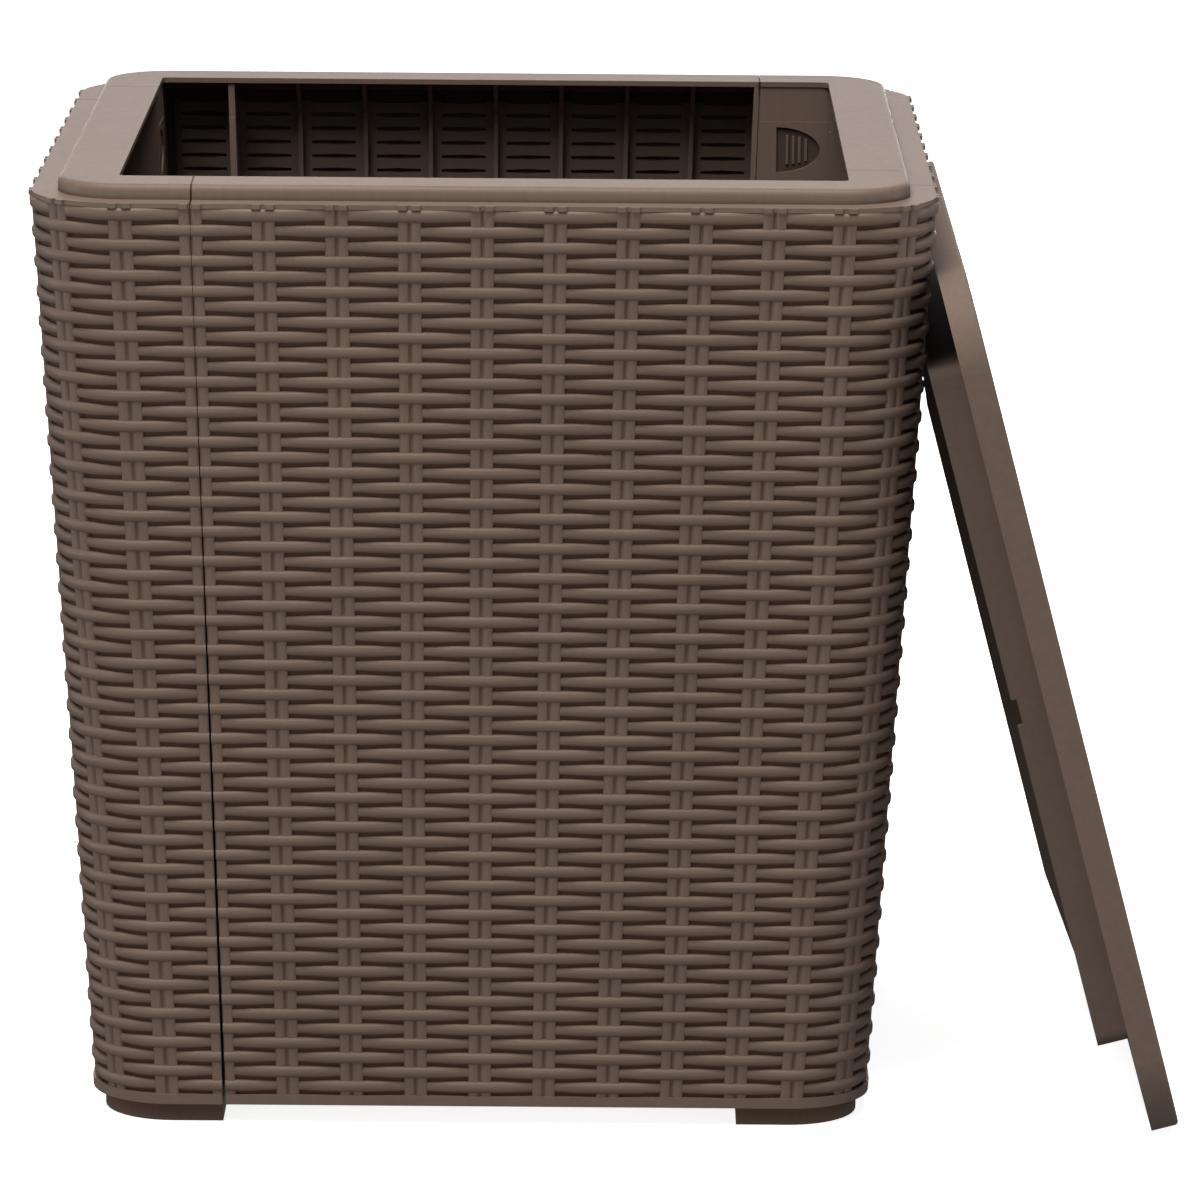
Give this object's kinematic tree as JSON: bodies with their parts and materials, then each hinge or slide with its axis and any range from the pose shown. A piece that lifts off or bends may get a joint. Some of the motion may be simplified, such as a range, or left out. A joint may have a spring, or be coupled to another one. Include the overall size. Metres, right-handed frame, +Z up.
{
  "type": "garden storage table",
  "caption": "Square tapered storage table of wicker-look moulded panels with a raised rim, corner feet and a loose floor; its flat lift-off top leans against the side.",
  "frame": {"origin": "on the ground, under the middle of the box", "axes": "+Z up, +X to the side where the top leans, -Y towards the front"},
  "size_m": [0.513, 0.4085, 0.4265],
  "materials": {
    "panel_plastic": "satin, moulded weave pattern",
    "floor_plastic": "matte",
    "top_plastic": "fine matte grain"
  },
  "bodies": {
    "box": {"front_panel": "panel_plastic", "right_panel": "panel_plastic", "back_panel": "panel_plastic", "left_panel": "panel_plastic", "floor_panel": "floor_plastic"},
    "top": {"table_top": "top_plastic"}
  },
  "joints": [
    {"name": "top_lift", "type": "slide", "parent": "box", "child": "top", "axis": [0.6, 0, 0.8], "range_m": [0, 0.45]}
  ]
}
